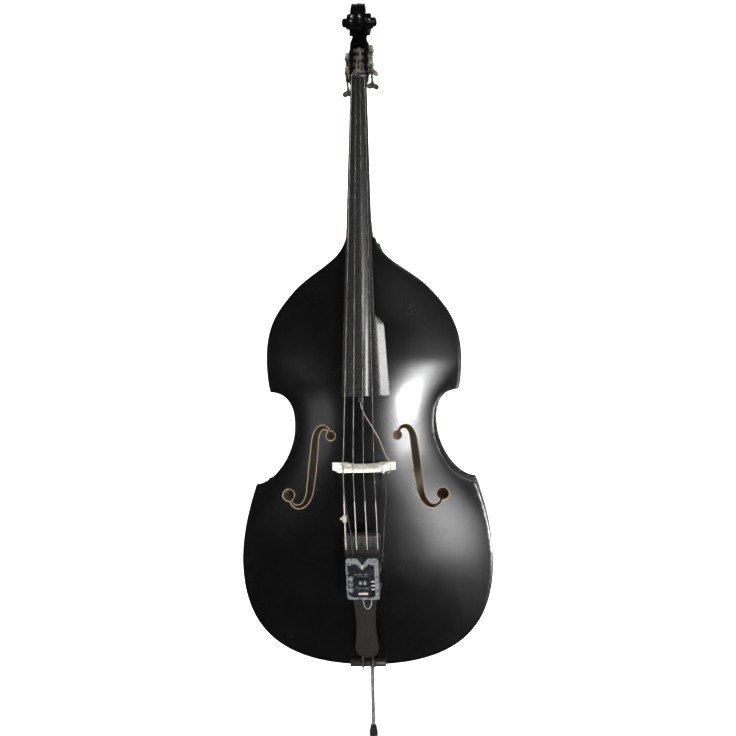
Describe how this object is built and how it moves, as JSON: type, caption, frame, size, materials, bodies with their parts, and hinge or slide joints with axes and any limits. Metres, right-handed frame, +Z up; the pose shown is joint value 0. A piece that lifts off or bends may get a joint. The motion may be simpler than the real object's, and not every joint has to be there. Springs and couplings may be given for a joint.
{
  "type": "double bass",
  "caption": "Three-quarter size upright double bass in gloss black lacquer with worm tuners, arched bridge, tailpiece preamp and sliding endpin.",
  "frame": {"origin": "the foot of the endpin where it stands on the floor, on the axis of the endpin", "axes": "+Z up the instrument, -Y towards its front (the strings), +X towards the treble side (to the right seen from the front)"},
  "size_m": [0.657, 0.4133, 1.9756],
  "materials": {
    "black_lacquer": "gloss black lacquer",
    "spruce": "bare spruce",
    "ebony": "polished ebony",
    "bridge_maple": "pale ivory maple",
    "pale_bar": "pale bone-coloured bar",
    "string_steel": "flat wound steel",
    "cable_steel": "stranded steel",
    "endpin_steel": "polished steel",
    "rubber": "matt",
    "aged_brass": "aged, worn edges",
    "aged_nickel": "aged nickel over brass, engraved",
    "black_plastic": "moulded",
    "preamp_silver": "worn silver",
    "board_green": "solder mask",
    "indicator_white": "translucent",
    "pickup_metal": "polished",
    "wire_cover": "flexible cover"
  },
  "bodies": {
    "endpin": {"endpin_rod": "endpin_steel", "endpin_foot": "rubber"},
    "bass": {"top_plate": "black_lacquer", "back_plate": "black_lacquer", "rib_lower_left": "black_lacquer", "rib_lower_right": "black_lacquer", "rib_waist_left": "black_lacquer", "rib_waist_right": "black_lacquer", "rib_upper_left": "black_lacquer", "rib_upper_right": "black_lacquer", "linings": "spruce", "neck_block": "spruce", "end_block": "spruce", "corner_blocks": "spruce", "bass_bar": "spruce", "sound_post": "spruce", "neck": "black_lacquer", "fingerboard": "ebony", "nut": "ebony", "bridge": "bridge_maple", "tailpiece": "ebony", "tail_bar": "pale_bar", "tailgut": "cable_steel", "saddle": "ebony", "string_e": "string_steel", "string_a": "string_steel", "string_d": "string_steel", "string_g": "string_steel", "endpin_collar": "black_lacquer", "tuner_plate_left": "aged_nickel", "tuner_plate_right": "aged_nickel", "tuner_screws": "aged_nickel", "preamp_case": "black_plastic", "preamp_panel": "preamp_silver", "preamp_board": "board_green", "preamp_lights": "indicator_white", "preamp_jack": "preamp_silver", "preamp_strap": "preamp_silver", "bridge_pickups": "pickup_metal", "board_pickup": "pickup_metal", "pickup_wires": "wire_cover", "wolf_eliminator": "aged_brass"},
    "endpin_screw": {"endpin_screw": "aged_brass"},
    "key_e": {"key_e": "aged_brass"},
    "roller_e": {"roller_e": "aged_brass", "gear_e": "aged_brass"},
    "key_a": {"key_a": "aged_brass"},
    "roller_a": {"roller_a": "aged_brass", "gear_a": "aged_brass"},
    "key_d": {"key_d": "aged_brass"},
    "roller_d": {"roller_d": "aged_brass", "gear_d": "aged_brass"},
    "key_g": {"key_g": "aged_brass"},
    "roller_g": {"roller_g": "aged_brass", "gear_g": "aged_brass"},
    "preamp_knob_top": {"preamp_knob_top": "preamp_silver"},
    "preamp_knob_middle": {"preamp_knob_middle": "preamp_silver"},
    "preamp_knob_bottom": {"preamp_knob_bottom": "preamp_silver"},
    "preamp_fader_left": {"preamp_fader_left": "preamp_silver"},
    "preamp_fader_right": {"preamp_fader_right": "preamp_silver"}
  },
  "joints": [
    {"name": "endpin_slide", "type": "slide", "parent": "endpin", "child": "bass", "axis": [0, 0, 1], "range_m": [-0.15, 0.1]},
    {"name": "endpin_screw_turn", "type": "hinge", "parent": "bass", "child": "endpin_screw", "pos_m": [0, 0.03, 0.203], "axis": [0, 1, 0], "continuous": true},
    {"name": "key_e_turn", "type": "hinge", "parent": "bass", "child": "key_e", "pos_m": [-0.0325, -0.05417, 1.76131], "axis": [0, 0.809, -0.5878], "continuous": true},
    {"name": "roller_e_turn", "type": "hinge", "parent": "bass", "child": "roller_e", "pos_m": [0, -0.043, 1.77669], "axis": [1, 0, 0], "continuous": true},
    {"name": "key_a_turn", "type": "hinge", "parent": "bass", "child": "key_a", "pos_m": [-0.0325, -0.04259, 1.80169], "axis": [0, 0.809, -0.5878], "continuous": true},
    {"name": "roller_a_turn", "type": "hinge", "parent": "bass", "child": "roller_a", "pos_m": [0, -0.03142, 1.81706], "axis": [1, 0, 0], "continuous": true},
    {"name": "key_d_turn", "type": "hinge", "parent": "bass", "child": "key_d", "pos_m": [0.0325, -0.0368, 1.82187], "axis": [0, 0.809, -0.5878], "continuous": true},
    {"name": "roller_d_turn", "type": "hinge", "parent": "bass", "child": "roller_d", "pos_m": [0, -0.02563, 1.83724], "axis": [1, 0, 0], "continuous": true},
    {"name": "key_g_turn", "type": "hinge", "parent": "bass", "child": "key_g", "pos_m": [0.0325, -0.04838, 1.7815], "axis": [0, 0.809, -0.5878], "continuous": true},
    {"name": "roller_g_turn", "type": "hinge", "parent": "bass", "child": "roller_g", "pos_m": [0, -0.03721, 1.79687], "axis": [1, 0, 0], "continuous": true},
    {"name": "preamp_knob_top_turn", "type": "hinge", "parent": "bass", "child": "preamp_knob_top", "pos_m": [-0.03, -0.22428, 0.46101], "axis": [0, -0.9621, -0.2727], "range_deg": [-135, 135]},
    {"name": "preamp_knob_middle_turn", "type": "hinge", "parent": "bass", "child": "preamp_knob_middle", "pos_m": [-0.03, -0.22011, 0.44629], "axis": [0, -0.9621, -0.2727], "range_deg": [-135, 135]},
    {"name": "preamp_knob_bottom_turn", "type": "hinge", "parent": "bass", "child": "preamp_knob_bottom", "pos_m": [-0.03, -0.21593, 0.43157], "axis": [0, -0.9621, -0.2727], "range_deg": [-135, 135]},
    {"name": "preamp_fader_left_slide", "type": "slide", "parent": "bass", "child": "preamp_fader_left", "axis": [0, -0.2727, 0.9621], "range_m": [-0.008, 0.008]},
    {"name": "preamp_fader_right_slide", "type": "slide", "parent": "bass", "child": "preamp_fader_right", "axis": [0, -0.2727, 0.9621], "range_m": [-0.008, 0.008]}
  ],
  "couplings": [
    {"joint": "roller_e_turn", "follows": "key_e_turn", "ratio": 0.05},
    {"joint": "roller_a_turn", "follows": "key_a_turn", "ratio": 0.05},
    {"joint": "roller_d_turn", "follows": "key_d_turn", "ratio": 0.05},
    {"joint": "roller_g_turn", "follows": "key_g_turn", "ratio": 0.05}
  ]
}
